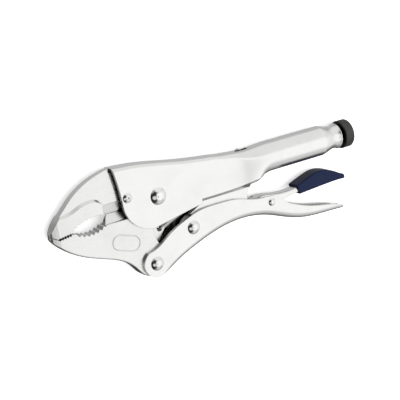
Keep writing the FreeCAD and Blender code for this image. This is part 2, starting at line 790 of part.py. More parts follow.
# ================================================================ lower handle
# The second pressed channel, open towards the upper handle, with its lobes on the heel rivet and its
# tail running out flat and narrow.

# Each station: x, half width, low edge, corner radius.
LOWER_STATIONS = [
    (-58.0, channel, -56.0, 5.6),
    (-43.0, channel, -48.0, 5.6),
    (-34.0, channel, -40.6, 5.6),
    (-27.0, channel, -36.6, 5.6),
    (-9.4, channel, -29.3, 5.6),
    (8.2, channel, -24.0, 5.6),
    (25.6, channel, -21.6, 5.6),
    (36.0, channel, -21.9, 5.6),
    (51.0, channel, -24.9, 5.6),
    (68.0, channel, -31.4, 5.6),
    (81.0, channel - 0.1, -35.2, 5.6),
    (95.0, channel - 0.6, -36.9, 5.2),
    (108.0, channel - 1.7, -37.6, 4.4),
    (122.0, channel - 3.3, -38.4, 3.2),
]
LOWER_TOP = 20.0

lower_outer = loft(
    "lower_outer", [section(x, half, low, LOWER_TOP, corner) for x, half, low, corner in LOWER_STATIONS]
)
lower_inner = loft(
    "lower_inner",
    [
        section(x, half - steel, low + steel, LOWER_TOP + 5.0, min(corner - steel, half - steel - 0.1))
        for x, half, low, corner in LOWER_STATIONS
    ],
)
LOBE = 9.7
lower_side = free_extrusion(
    "lower_side",
    outline(
        around(*heel, LOBE, 120.0),
        ("curve", (-40.1, -20.9), (-31.0, -14.9), (-18.0, -8.9), (-5.0, -5.2), (11.6, -4.6), (26.0, -5.6),
         (38.0, -8.9), (50.0, -10.3)),
        ("curve", (54.6, -10.9), (58.8, -12.2), (62.2, -15.0), (68.0, -19.4), (76.0, -23.2), (86.0, -27.0),
         (104.0, -31.2), (114.0, -33.8), (118.0, -35.0)),
        ("arc", (119.8, -36.6), (119.0, -38.8)),
        ("line", (119.0, -50.0), (-30.0, -50.0), (-34.6, -38.9)),
        ("arc", around(*heel, LOBE, -75.0), around(*heel, LOBE, -105.0)),
        ("arc", around(*heel, LOBE, 180.0), around(*heel, LOBE, 120.0)),
    ),
    FLAT,
    60.0,
)
front_opening = free_extrusion(
    "heel_opening",
    outline((-60.0, -60.0), ("line", (-33.0, -60.0), (-33.0, -5.0), (-60.0, -5.0))),
    FLAT,
    2.0 * (channel - steel),
)
lower = boolean("Common", "lower_trimmed", lower_outer, lower_side)
lower = boolean("Cut", "lower_hollow", lower, lower_inner)
lower = boolean("Cut", "lower_open", lower, front_opening)
lower_handle = boolean(
    "Cut",
    "lower_handle",
    lower,
    fuse(
        "lower_holes",
        [
            cross_hole("lower_heel_hole", "heel_x", "heel_y", "heel_shank"),
            cross_hole("lower_toggle_hole", "toggle_x", "toggle_y", "toggle_shank"),
            cross_hole("lower_lever_hole", "lever_x", "lever_y", "lever_shank"),
        ],
    ),
)
finish(lower_handle, "lower_handle")

# ================================================================ toggle link
# A thick flat bar from the toggle rivet to the tip of the adjusting screw.

toggle = (size("toggle_x"), size("toggle_y"))
link_end = (size("link_end_x"), size("link_end_y"))
boss = size("link_boss")
nose = size("link_end_radius")
toggle_link = new_body("toggle_link")
pad(
    toggle_link,
    "link_bar",
    outline(
        around(*toggle, boss, 110.0),
        ("curve", (4.0, -0.6), (24.0, 8.2), (40.0, 16.6), around(*link_end, nose, 115.0)),
        ("arc", around(*link_end, nose, 20.0), around(*link_end, nose, -70.0)),
        ("curve", (40.0, 7.0), (24.0, -2.4), (6.0, -11.8), around(*toggle, boss, -70.0)),
        ("arc", around(*toggle, boss, -160.0), around(*toggle, boss, 110.0)),
    ),
    "Sizes.link_half",
)
hole(toggle_link, "link_bore", "toggle_x", "toggle_y", "Sizes.toggle_shank + Sizes.pivot_clearance")
finish(toggle_link, "toggle_link")

# ================================================================ release lever
# A small pressed channel, open downwards, between the walls of the lower handle. Its front tongue reaches
# up beside the link, and its tail carries the plastic sleeve.

lever_steel = size("lever_steel")
LEVER_TOP = [
    (46.0, -9.9), (50.0, -9.3), (60.0, -11.0), (70.0, -11.7), (79.0, -11.0), (90.0, -8.6), (100.0, -6.4),
]
LEVER_REAR_TOP = [(109.0, -7.0), (116.0, -9.9), (120.8, -13.4)]
release_lever = new_body("release_lever")
pad(
    release_lever,
    "lever_channel",
    outline(
        (42.4, -13.4),
        ("curve", *LEVER_TOP),
        ("curve", *LEVER_REAR_TOP),
        ("line", (120.0, -14.5)),
        ("curve", (108.0, -13.6), (92.0, -14.2), (78.0, -14.9), (68.0, -16.0)),
        ("curve", (60.6, -18.2), (54.2, -20.3), (47.0, -18.2), (42.4, -13.4)),
    ),
    "Sizes.lever_half",
)
bevel_edges(
    release_lever, "lever_bend", "Fillet", 1.7,
    lambda middle, edge: abs(middle.z) > 4.0 and edge.Length > 20.0 and middle.y > -12.5,
)
pocket_middle(
    release_lever,
    "lever_hollow",
    outline(
        (40.0, -13.4 - lever_steel),
        ("line", (43.8, -13.4 - lever_steel)),
        ("curve", *[(x, y - lever_steel) for x, y in LEVER_TOP]),
        ("curve", (109.0, -7.0 - lever_steel), (116.0, -10.1 - lever_steel)),
        ("line", (117.6, -30.0), (40.0, -30.0)),
    ),
    "Sizes.lever_half - Sizes.lever_steel",
)
pad(
    release_lever,
    "lever_tongue",
    outline(
        (48.0, -10.4),
        ("curve", (42.0, -9.8), (36.0, -7.6), (30.8, -4.4)),
        ("arc", (29.0, -5.0), (29.3, -6.9)),
        ("curve", (36.0, -11.6), (42.0, -14.2), (48.0, -14.8)),
    ),
    "Sizes.tongue_half",
)
hole(release_lever, "lever_bore", "lever_x", "lever_y", "Sizes.lever_shank + Sizes.pivot_clearance")
hole(release_lever, "lever_side_hole", "lever_hole_x", "lever_hole_y", "Sizes.lever_hole")
finish(release_lever, "release_lever")

# The sleeve is moulded plastic pushed over the lever's tail, closed at its end.
lever_sleeve = new_body("lever_sleeve")
pad(
    lever_sleeve,
    "sleeve_shell",
    outline(
        (79.0, -9.6),
        ("curve", (84.5, -7.7), (91.8, -5.4), (98.5, -3.9), (105.5, -4.4), (112.2, -6.7), (119.6, -10.8)),
        ("arc", (122.2, -13.0), (121.6, -15.2)),
        ("curve", (115.0, -15.0), (104.0, -15.3), (92.0, -15.9), (80.6, -16.5)),
    ),
    "Sizes.sleeve_half",
)
bevel_edges(
    lever_sleeve, "sleeve_rounding", "Fillet", 1.2,
    lambda middle, edge: abs(middle.z) > 4.0 and edge.Length > 20.0,
)
pocket_middle(
    lever_sleeve,
    "sleeve_cavity",
    outline(
        (70.0, -11.7),
        ("curve", (79.0, -11.0), (90.0, -8.6), (100.0, -6.4)),
        ("curve", *LEVER_REAR_TOP),
        ("line", (120.0, -14.5)),
        ("curve", (108.0, -13.6), (92.0, -14.2), (78.0, -14.9), (68.0, -16.0)),
    ),
    "Sizes.lever_half",
)
finish(lever_sleeve, "lever_sleeve")

# ================================================================ screw, knob and bush
# All three turn about the axis of the rolled tube.

def turned(label, geometry):
    """A piece turned about the tube's axis: its profile lies above the X axis of its own sketch."""
    body = new_body(label)
    revolve(body, label + "_turned", geometry, "XY_Plane", "H_Axis")
    body.Label = label
    body.setExpression(".Placement.Base.x", "Sizes.shift_x")
    body.setExpression(".Placement.Base.y", "Sizes.shift_y + Sizes.tube_axis_y")
    body.setExpression(".Placement.Base.z", "Sizes.rest_height")
    pieces.append(body)
    return body


screw_radius = size("screw_radius")
screw_tip = size("link_end_x") + size("link_end_radius") + size("link_gap")
screw_end = size("screw_end_x")
turned(
    "adjusting_screw",
    outline(
        (screw_tip, 0.0),
        ("arc", (screw_tip + 0.5, 1.6), (screw_tip + 2.0, 2.9)),
        ("line", (screw_tip + 3.0, screw_radius), (screw_end, screw_radius), (screw_end, 0.0)),
    ),
)

bush_start = size("bush_start_x")
bush_end = bush_start + size("bush_length")
bush_bore = screw_radius + size("screw_clearance")
turned(
    "neck_bush",
    outline(
        (bush_start, bush_bore + 0.4),
        ("line", (bush_start, size("neck_bore")), (bush_end, size("neck_bore"))),
        ("line", (bush_end, bush_bore + 0.4), (bush_end - 0.4, bush_bore), (bush_start + 0.4, bush_bore)),
    ),
)

knob_start = size("knob_start_x")
knob_end = knob_start + size("knob_length")
knob_radius = size("knob_radius")
chamfer = size("knob_chamfer")
turned(
    "screw_knob",
    outline(
        (knob_start, bush_bore),
        ("line", (knob_start, knob_radius - chamfer), (knob_start + chamfer, knob_radius)),
        ("line", (knob_end - chamfer, knob_radius), (knob_end, knob_radius - chamfer)),
        ("line", (knob_end, 0.0), (screw_end + 0.05, 0.0), (screw_end + 0.05, bush_bore)),
    ),
)

# ================================================================ tension spring
# A close-wound coil whose front hook sits in the lower jaw and whose rear hook comes up through the slot.

wire = size("spring_wire")
coil = size("spring_radius")
hook = Vector(size("spring_hook_x"), size("spring_hook_y"), 0)
anchor = Vector(size("slot_start_x") + 3.2, 26.6, 0)
pull = (anchor - hook).normalize()
coil_start = hook + pull * 21.0
coil_end = hook + pull * 66.0


def wire_run(name, points):
    """A round wire along straight runs through the points."""
    runs = []
    for number, (start, end) in enumerate(zip(points, points[1:])):
        rod = doc.addObject("Part::Feature", f"{name}_{number}")
        rod.Shape = Part.makeCylinder(wire, (end - start).Length, start, end - start)
        runs.append(rod)
        if number:
            knuckle = doc.addObject("Part::Feature", f"{name}_knuckle_{number}")
            knuckle.Shape = Part.makeSphere(wire, start)
            runs.append(knuckle)
    return runs


coil_tube = doc.addObject("Part::Feature", "spring_coil")
coil_tube.Shape = Part.makeCylinder(coil, (coil_end - coil_start).Length, coil_start, pull).cut(
    Part.makeCylinder(coil - 2.0 * wire, (coil_end - coil_start).Length, coil_start, pull)
)
side = Vector(-pull.y, pull.x, 0) * (coil - wire)
front_points = [
    hook + Vector(-0.7, 0.2, -2.2),
    hook + Vector(-0.7, 0.2, 3.9),
    hook + pull * 7.0 + Vector(0, 0, 3.9),
    hook + pull * 13.5,
    hook + pull * 19.0,
    coil_start + side * 1.0 + pull * 0.6,
]
rear_points = [
    coil_end + side * 1.0 - pull * 0.6,
    coil_end + pull * 2.0,
    anchor + Vector(-1.4, -1.4, 0),
    anchor + Vector(-1.4, 1.7, 0),
]
tension_spring = fuse(
    "tension_spring", [coil_tube, *wire_run("front_hook", front_points), *wire_run("rear_hook", rear_points)]
)
finish(tension_spring, "tension_spring")

# ================================================================ checks and files

doc.recompute()
failed = [thing.Label for thing in doc.Objects if "Invalid" in thing.State or "Error" in thing.State]
if failed:
    raise RuntimeError(f"failed: {failed}")

os.makedirs("parts", exist_ok=True)
for piece in pieces:
    shape = piece.Shape
    if shape.isNull() or not shape.isValid():
        raise RuntimeError(f"{piece.Label} has no valid shape")
    shape.exportStep(f"parts/{piece.Label}.step")
    print(f"{piece.Label:18s} solids {len(shape.Solids)} volume {shape.Volume:9.1f}")
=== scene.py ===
import math

import bpy
from mathutils import Matrix, Vector


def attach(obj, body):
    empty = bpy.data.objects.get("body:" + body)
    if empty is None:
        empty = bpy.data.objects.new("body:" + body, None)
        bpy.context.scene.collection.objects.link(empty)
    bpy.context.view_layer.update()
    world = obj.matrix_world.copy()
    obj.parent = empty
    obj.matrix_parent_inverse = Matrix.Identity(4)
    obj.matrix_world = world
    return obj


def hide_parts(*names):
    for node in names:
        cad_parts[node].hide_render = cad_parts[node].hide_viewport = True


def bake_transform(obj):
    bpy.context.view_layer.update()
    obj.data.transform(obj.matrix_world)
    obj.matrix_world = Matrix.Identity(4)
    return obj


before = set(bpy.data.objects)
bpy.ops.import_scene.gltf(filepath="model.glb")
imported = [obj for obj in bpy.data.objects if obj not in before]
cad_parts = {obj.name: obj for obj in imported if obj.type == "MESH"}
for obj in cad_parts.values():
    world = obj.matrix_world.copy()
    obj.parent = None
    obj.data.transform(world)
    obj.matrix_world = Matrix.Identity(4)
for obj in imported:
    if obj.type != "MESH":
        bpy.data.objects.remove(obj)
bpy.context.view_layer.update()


# ------------------------------------------------------------------ helpers
# Points are given in the drawing frame of the tool, in millimetres: X along the tube, Y from the lower to
# the upper handle, Z square to the flat sides with the middle plane at 0.

SHIFT = Vector((-9.2, 0.95, 11.2))


def place(x, y, z=0.0):
    return (Vector((x, y, z)) + SHIFT) / 1000.0


def mesh_object(name, vertices, faces, material, smooth=True):
    mesh = bpy.data.meshes.new(name)
    mesh.from_pydata([tuple(v) for v in vertices], [], faces)
    mesh.validate()
    mesh.update()
    obj = bpy.data.objects.new(name, mesh)
    bpy.context.scene.collection.objects.link(obj)
    mesh.materials.append(material)
    mesh.polygons.foreach_set("use_smooth", [smooth] * len(mesh.polygons))
    return obj


def sharpen(obj, degrees):
    """Smooth shading that breaks at edges sharper than the angle."""
    obj.data.set_sharp_from_angle(angle=math.radians(degrees))


def lathe(name, profile, start, axis, up, material, steps=128, degrees=30.0):
    """A closed turned piece: profile is (along, radius) pairs in mm that start and end on the axis."""
    axis = Vector(axis).normalized()
    up = Vector(up).normalized()
    across = axis.cross(up)
    rings = [point for point in profile if point[1] > 1e-6]
    vertices, faces = [], []
    for along, radius in rings:
        for step in range(steps):
            angle = 2.0 * math.pi * step / steps
            spoke = up * math.cos(angle) + across * math.sin(angle)
            vertices.append(start + (axis * along + spoke * radius) / 1000.0)
    for ring in range(len(rings) - 1):
        for step in range(steps):
            a = ring * steps + step
            b = ring * steps + (step + 1) % steps
            faces.append((a, b, b + steps, a + steps))
    for along, ring, turn in ((profile[0][0], 0, -1), (profile[-1][0], len(rings) - 1, 1)):
        vertices.append(start + axis * along / 1000.0)
        tip = len(vertices) - 1
        for step in range(steps):
            a = ring * steps + step
            b = ring * steps + (step + 1) % steps
            faces.append((a, b, tip)[::turn])
    obj = mesh_object(name, vertices, faces, material)
    sharpen(obj, degrees)
    return obj


# ------------------------------------------------------------------ shared shader groups

def new_group(name, inputs, outputs):
    group = bpy.data.node_groups.new(name, "ShaderNodeTree")
    for label, kind, value in inputs:
        socket = group.interface.new_socket(label, in_out="INPUT", socket_type=kind)
        socket.default_value = value
    for label, kind in outputs:
        group.interface.new_socket(label, in_out="OUTPUT", socket_type=kind)
    entry = group.nodes.new("NodeGroupInput")
    leave = group.nodes.new("NodeGroupOutput")
    return group, entry, leave


def add(tree, kind, **settings):
    node = tree.nodes.new(kind)
    for key, value in settings.items():
        if key.startswith("in_"):
            node.inputs[int(key[3:])].default_value = value
        else:
            setattr(node, key, value)
    return node


def grain_group():
    """Fine grain drawn out along X, soft patches of handling, and scattered fine scratches."""
    group, entry, leave = new_group(
        "grain",
        [("Scale", "NodeSocketFloat", 900.0), ("Stretch", "NodeSocketFloat", 0.06)],
        [("Grain", "NodeSocketFloat"), ("Patches", "NodeSocketFloat"), ("Scratches", "NodeSocketFloat")],
    )
    links = group.links
    place_of = add(group, "ShaderNodeTexCoord")
    stretch = add(group, "ShaderNodeCombineXYZ", in_1=1.0, in_2=1.0)
    links.new(entry.outputs["Stretch"], stretch.inputs[0])
    drawn = add(group, "ShaderNodeVectorMath", operation="MULTIPLY")
    links.new(place_of.outputs["Object"], drawn.inputs[0])
    links.new(stretch.outputs[0], drawn.inputs[1])
    fine = add(group, "ShaderNodeTexNoise", in_3=4.0, in_4=0.6)
    links.new(drawn.outputs[0], fine.inputs["Vector"])
    links.new(entry.outputs["Scale"], fine.inputs["Scale"])
    patches = add(group, "ShaderNodeTexNoise", in_2=55.0, in_3=3.0, in_4=0.55)
    links.new(place_of.outputs["Object"], patches.inputs["Vector"])
    turned = add(group, "ShaderNodeMapping")
    turned.inputs["Rotation"].default_value = (0.0, 0.0, 0.7)
    turned.inputs["Scale"].default_value = (12.0, 420.0, 420.0)
    links.new(place_of.outputs["Object"], turned.inputs["Vector"])
    lines = add(group, "ShaderNodeTexNoise", in_2=1.0, in_3=2.0, in_4=0.5)
    links.new(turned.outputs[0], lines.inputs["Vector"])
    cut = add(group, "ShaderNodeMapRange", in_1=0.68, in_2=0.74)
    links.new(lines.outputs["Fac"], cut.inputs[0])
    links.new(fine.outputs["Fac"], leave.inputs["Grain"])
    links.new(patches.outputs["Fac"], leave.inputs["Patches"])
    links.new(cut.outputs[0], leave.inputs["Scratches"])
    return group


def edge_group():
    """A soft rolled edge for the normal, and a mask of where the edges are."""
    group, entry, leave = new_group(
        "edges",
        [("Radius", "NodeSocketFloat", 0.0006), ("Normal", "NodeSocketVector", (0.0, 0.0, 0.0))],
        [("Normal", "NodeSocketVector"), ("Edge", "NodeSocketFloat")],
    )
    links = group.links
    bevel = add(group, "ShaderNodeBevel", samples=8)
    links.new(entry.outputs["Radius"], bevel.inputs["Radius"])
    links.new(entry.outputs["Normal"], bevel.inputs["Normal"])
    flat = add(group, "ShaderNodeNewGeometry")
    dot = add(group, "ShaderNodeVectorMath", operation="DOT_PRODUCT")
    links.new(bevel.outputs[0], dot.inputs[0])
    links.new(flat.outputs["True Normal"], dot.inputs[1])
    mask = add(group, "ShaderNodeMapRange", in_1=0.995, in_2=0.85)
    links.new(dot.outputs["Value"], mask.inputs[0])
    links.new(bevel.outputs[0], leave.inputs["Normal"])
    links.new(mask.outputs[0], leave.inputs["Edge"])
    return group


def painted_gap_shade_group():
    """Painted shade from ambient occlusion: 1 in the open, 0 deep in gaps and recesses, where the colour is
    darkened to stand in for the shade that falls there.
    """
    group, entry, leave = new_group(
        "hollows", [("Reach", "NodeSocketFloat", 0.008)], [("Open", "NodeSocketFloat")]
    )
    around = add(group, "ShaderNodeAmbientOcclusion", samples=8)
    group.links.new(entry.outputs["Reach"], around.inputs["Distance"])
    open_part = add(group, "ShaderNodeMapRange", in_1=0.2, in_2=0.52)
    group.links.new(around.outputs["AO"], open_part.inputs[0])
    group.links.new(open_part.outputs[0], leave.inputs["Open"])
    return group


GRAIN = grain_group()
EDGES = edge_group()
PAINTED_GAP_SHADE = painted_gap_shade_group()


def metal(name, colour, dark, roughness, spread, edge_radius, grain_scale, bump, edge_gain=0.12):
    """A plated or bare metal: grain in the colour and roughness, brighter worn edges, a fine bump, and
    painted shade that turns the colour near black in gaps.
    """
    material = bpy.data.materials.new(name)
    material.use_nodes = True
    tree = material.node_tree
    shader = tree.nodes["Principled BSDF"]
    shader.inputs["Metallic"].default_value = 1.0
    grain = add(tree, "ShaderNodeGroup", node_tree=GRAIN)
    grain.inputs["Scale"].default_value = grain_scale
    height = add(tree, "ShaderNodeMath", operation="MULTIPLY_ADD", in_1=-1.5)
    tree.links.new(grain.outputs["Scratches"], height.inputs[0])
    tree.links.new(grain.outputs["Grain"], height.inputs[2])
    bumps = add(tree, "ShaderNodeBump")
    bumps.inputs["Strength"].default_value = bump
    bumps.inputs["Distance"].default_value = 0.00002
    tree.links.new(height.outputs[0], bumps.inputs["Height"])
    edges = add(tree, "ShaderNodeGroup", node_tree=EDGES)
    edges.inputs["Radius"].default_value = edge_radius
    tree.links.new(bumps.outputs[0], edges.inputs["Normal"])
    tree.links.new(edges.outputs["Normal"], shader.inputs["Normal"])
    base = add(tree, "ShaderNodeMix", data_type="RGBA")
    base.inputs["A"].default_value = (*dark, 1.0)
    base.inputs["B"].default_value = (*colour, 1.0)
    tone = add(tree, "ShaderNodeMapRange", in_1=0.25, in_2=0.6)
    tree.links.new(grain.outputs["Patches"], tone.inputs[0])
    tree.links.new(tone.outputs[0], base.inputs["Factor"])
    worn = add(tree, "ShaderNodeMix", data_type="RGBA", blend_type="ADD")
    worn.inputs["B"].default_value = (edge_gain, edge_gain, edge_gain, 1.0)
    tree.links.new(base.outputs["Result"], worn.inputs["A"])
    tree.links.new(edges.outputs["Edge"], worn.inputs["Factor"])
    # Painted shade: where ambient occlusion finds a gap, the base colour is mixed towards near black,
    # standing in for the shade that falls there.
    hollow = add(tree, "ShaderNodeGroup", node_tree=PAINTED_GAP_SHADE)
    painted_shade_mix = add(tree, "ShaderNodeMix", data_type="RGBA")
    painted_shade_mix.inputs["A"].default_value = (0.012, 0.012, 0.011, 1.0)
    tree.links.new(hollow.outputs["Open"], painted_shade_mix.inputs["Factor"])
    tree.links.new(worn.outputs["Result"], painted_shade_mix.inputs["B"])
    tree.links.new(painted_shade_mix.outputs["Result"], shader.inputs["Base Color"])
    mixed = add(tree, "ShaderNodeMath", operation="ADD")
    tree.links.new(grain.outputs["Grain"], mixed.inputs[0])
    tree.links.new(grain.outputs["Patches"], mixed.inputs[1])
    low, high = roughness - spread, roughness + spread
    rough = add(tree, "ShaderNodeMapRange", in_1=0.7, in_2=1.3, in_3=low, in_4=high)
    tree.links.new(mixed.outputs[0], rough.inputs[0])
    tree.links.new(rough.outputs[0], shader.inputs["Roughness"])
    return material


def plastic(name, colour, pale, roughness, spread, bump):
    """A moulded plastic: faint mottling, paler rubbed edges, a fine matt bump."""
    material = bpy.data.materials.new(name)
    material.use_nodes = True
    tree = material.node_tree
    shader = tree.nodes["Principled BSDF"]
    grain = add(tree, "ShaderNodeGroup", node_tree=GRAIN)
    grain.inputs["Scale"].default_value = 1400.0
    grain.inputs["Stretch"].default_value = 1.0
    bumps = add(tree, "ShaderNodeBump")
    bumps.inputs["Strength"].default_value = bump
    bumps.inputs["Distance"].default_value = 0.00003
    tree.links.new(grain.outputs["Grain"], bumps.inputs["Height"])
    edges = add(tree, "ShaderNodeGroup", node_tree=EDGES)
    edges.inputs["Radius"].default_value = 0.0008
    tree.links.new(bumps.outputs[0], edges.inputs["Normal"])
    tree.links.new(edges.outputs["Normal"], shader.inputs["Normal"])
    base = add(tree, "ShaderNodeMix", data_type="RGBA")
    base.inputs["A"].default_value = (*colour, 1.0)
    base.inputs["B"].default_value = (*pale, 1.0)
    tone = add(tree, "ShaderNodeMath", operation="MULTIPLY_ADD", in_1=0.3)
    tree.links.new(grain.outputs["Patches"], tone.inputs[0])
    tree.links.new(edges.outputs["Edge"], tone.inputs[2])
    tree.links.new(tone.outputs[0], base.inputs["Factor"])
    tree.links.new(base.outputs["Result"], shader.inputs["Base Color"])
    low, high = roughness - spread, roughness + spread
    rough = add(tree, "ShaderNodeMapRange", in_1=0.3, in_2=0.7, in_3=low, in_4=high)
    tree.links.new(grain.outputs["Patches"], rough.inputs[0])
    tree.links.new(rough.outputs[0], shader.inputs["Roughness"])
    return material


HANDLE_PLATE = metal("handle_plate", (0.80, 0.80, 0.79), (0.75, 0.75, 0.745), 0.24, 0.04, 0.0006, 900.0, 0.12)
JAW_PLATE = metal("jaw_plate", (0.77, 0.77, 0.76), (0.71, 0.71, 0.70), 0.27, 0.04, 0.0005, 700.0, 0.08)
RIVET_PLATE = metal("rivet_plate", (0.82, 0.82, 0.81), (0.76, 0.76, 0.75), 0.11, 0.02, 0.0002, 1200.0, 0.08)
INNER_STEEL = metal("inner_steel", (0.34, 0.34, 0.33), (0.24, 0.24, 0.24), 0.38, 0.08, 0.0004, 800.0, 0.4)
SPRING_STEEL = metal("spring_steel", (0.62, 0.62, 0.61), (0.50, 0.50, 0.49), 0.25, 0.05, 0.0001, 900.0, 0.2)
SCREW_STEEL = metal("screw_steel", (0.52, 0.52, 0.50), (0.42, 0.42, 0.41), 0.30, 0.06, 0.0001, 900.0, 0.2)
KNOB_STEEL = metal(
    "knob_steel", (0.085, 0.09, 0.083), (0.06, 0.063, 0.058), 0.42, 0.06, 0.0004, 900.0, 0.4, 0.05
)
SLEEVE_BLUE = plastic("sleeve_blue", (0.0035, 0.0085, 0.036), (0.009, 0.018, 0.065), 0.46, 0.05, 0.25)
SLEEVE_BLUE.node_tree.nodes["Principled BSDF"].inputs["Specular IOR Level"].default_value = 0.18


# ------------------------------------------------------------------ CAD pieces that are shown as they are

FINISHES = {
    "upper_handle": HANDLE_PLATE,
    "lower_handle": HANDLE_PLATE,
    "release_lever": HANDLE_PLATE,
    "upper_jaw": JAW_PLATE,
    "lower_jaw": JAW_PLATE,
    "upper_jaw_rivet": RIVET_PLATE,
    "jaw_pivot_rivet": RIVET_PLATE,
    "jaw_handle_rivet": RIVET_PLATE,
    "toggle_rivet": RIVET_PLATE,
    "lever_pivot_rivet": RIVET_PLATE,
    "toggle_link": INNER_STEEL,
    "neck_bush": INNER_STEEL,
    "tension_spring": SPRING_STEEL,
    "adjusting_screw": SCREW_STEEL,
    "screw_knob": KNOB_STEEL,
    "lever_sleeve": SLEEVE_BLUE,
}
for node, material in FINISHES.items():
    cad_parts[node].data.materials[0] = material


# ------------------------------------------------------------------ tension spring
# A close-wound coil on the line from the lower jaw's hook hole to the slot, with a hooked wire at each
# end.

def follow(name, points, radius, material, sides=12):
    """A round wire through the points, closed at both ends."""
    points = [Vector(p) for p in points]
    vertices, faces = [], []
    guide = Vector((0.0, 0.0, 1.0))
    for number, point in enumerate(points):
        before = points[max(number - 1, 0)]
        after = points[min(number + 1, len(points) - 1)]
        run = (after - before).normalized()
        guide = (guide - run * guide.dot(run)).normalized()
        other = run.cross(guide)
        for side in range(sides):
            angle = 2.0 * math.pi * side / sides
            vertices.append(point + (guide * math.cos(angle) + other * math.sin(angle)) * radius)
    for ring in range(len(points) - 1):
        for side in range(sides):
            a = ring * sides + side
            b = ring * sides + (side + 1) % sides
            faces.append((a, b, b + sides, a + sides))
    faces.append(tuple(range(sides))[::-1])
    faces.append(tuple(range(len(vertices) - sides, len(vertices))))
    return mesh_object(name, vertices, faces, material)


def smooth_run(points, per=10):
    """A smooth line through the points."""
    points = [Vector(p) for p in points]
    line = []
    for i in range(len(points) - 1):
        p0, p1 = points[max(i - 1, 0)], points[i]
        p2, p3 = points[i + 1], points[min(i + 2, len(points) - 1)]
        for k in range(per):
            t = k / per
            line.append(0.5 * ((2 * p1) + (p2 - p0) * t + (2 * p0 - 5 * p1 + 4 * p2 - p3) * t * t
                               + (3 * p1 - p0 - 3 * p2 + p3) * t * t * t))
    line.append(points[-1])
    return line


hook = Vector((-36.0, -10.5, 0.0))
anchor = Vector((36.7, 26.6, 0.0))
pull = (anchor - hook).normalized()
aside = Vector((-pull.y, pull.x, 0.0))
WIRE, COIL, TURNS = 0.65, 2.7, 31
STEPS_PER_TURN = 16
COIL_START, COIL_LENGTH = 21.0, 44.0
coil_run = []
for step in range(TURNS * STEPS_PER_TURN + 1):
    angle = 2.0 * math.pi * step / STEPS_PER_TURN
    along = COIL_START + COIL_LENGTH * step / (TURNS * STEPS_PER_TURN)
    spoke = aside * (COIL * math.cos(angle)) + Vector((0, 0, COIL * math.sin(angle)))
    coil_run.append(hook + pull * along + spoke)
front = smooth_run([
    hook + Vector((-0.5, 0.2, -2.0)), hook + Vector((-0.8, 0.1, 2.4)), hook + Vector((0.6, 0.8, 3.9)),
    hook + pull * 5.0 + Vector((0, 0, 3.9)), hook + pull * 10.0 + Vector((0, 0, 2.2)), hook + pull * 16.0,
    hook + pull * 19.6 + aside * 0.9,
])
rear = smooth_run([
    hook + pull * 66.2 + aside * 0.9, hook + pull * 69.0, anchor - pull * 8.0,
    anchor + Vector((-2.4, -1.6, 0)), anchor + Vector((-1.5, 1.2, 0)), anchor + Vector((0.4, 1.1, 0)),
])
spring = follow(
    "spring_coil", [place(*p) for p in [*front, *coil_run, *rear]], WIRE / 1000.0, SPRING_STEEL, 10
)
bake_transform(spring)
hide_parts("tension_spring")


# ------------------------------------------------------------------ adjusting screw
# A threaded rod with a rounded tip, on the axis of the tube. Its rings are (along, radius, depth of thread).

TUBE_AXIS = 17.2
THREAD_PITCH, THREAD_DEPTH, THREAD_RADIUS = 1.25, 0.55, 4.0
THREAD_START, SCREW_END = 60.2, 131.0
SCREW_STEPS, RINGS_PER_TURN = 48, 8
CREST = 1.15
rings = [(57.6, 0.9, 0.0), (57.9, 1.7, 0.0), (58.6, 2.6, 0.0), (59.6, 3.4, 0.0)]
for number in range(int((SCREW_END - THREAD_START) / THREAD_PITCH * RINGS_PER_TURN) + 1):
    rings.append((THREAD_START + number * THREAD_PITCH / RINGS_PER_TURN, THREAD_RADIUS, THREAD_DEPTH))
vertices, faces = [], []
for along, radius, depth in rings:
    for step in range(SCREW_STEPS):
        angle = 2.0 * math.pi * step / SCREW_STEPS
        phase = (along / THREAD_PITCH - step / SCREW_STEPS) % 1.0
        reach = radius - depth * min(1.0, abs(2.0 * phase - 1.0) * CREST)
        vertices.append(place(along, TUBE_AXIS + reach * math.cos(angle), reach * math.sin(angle)))
for ring in range(len(rings) - 1):
    for step in range(SCREW_STEPS):
        a = ring * SCREW_STEPS + step
        b = ring * SCREW_STEPS + (step + 1) % SCREW_STEPS
        faces.append((a, b, b + SCREW_STEPS, a + SCREW_STEPS))
faces.append(tuple(range(SCREW_STEPS))[::-1])
faces.append(tuple(range(len(vertices) - SCREW_STEPS, len(vertices))))
screw = mesh_object("screw_thread", vertices, faces, SCREW_STEEL)
sharpen(screw, 50.0)
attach(screw, "screw")
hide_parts("adjusting_screw")


# ------------------------------------------------------------------ medallion
# A plain raised rim in the shape of a long oval on the cheek of the lower jaw.

RIM_SIDES, RIM_ARC_STEPS = 8, 16
RIM_FLATTENING = 0.7


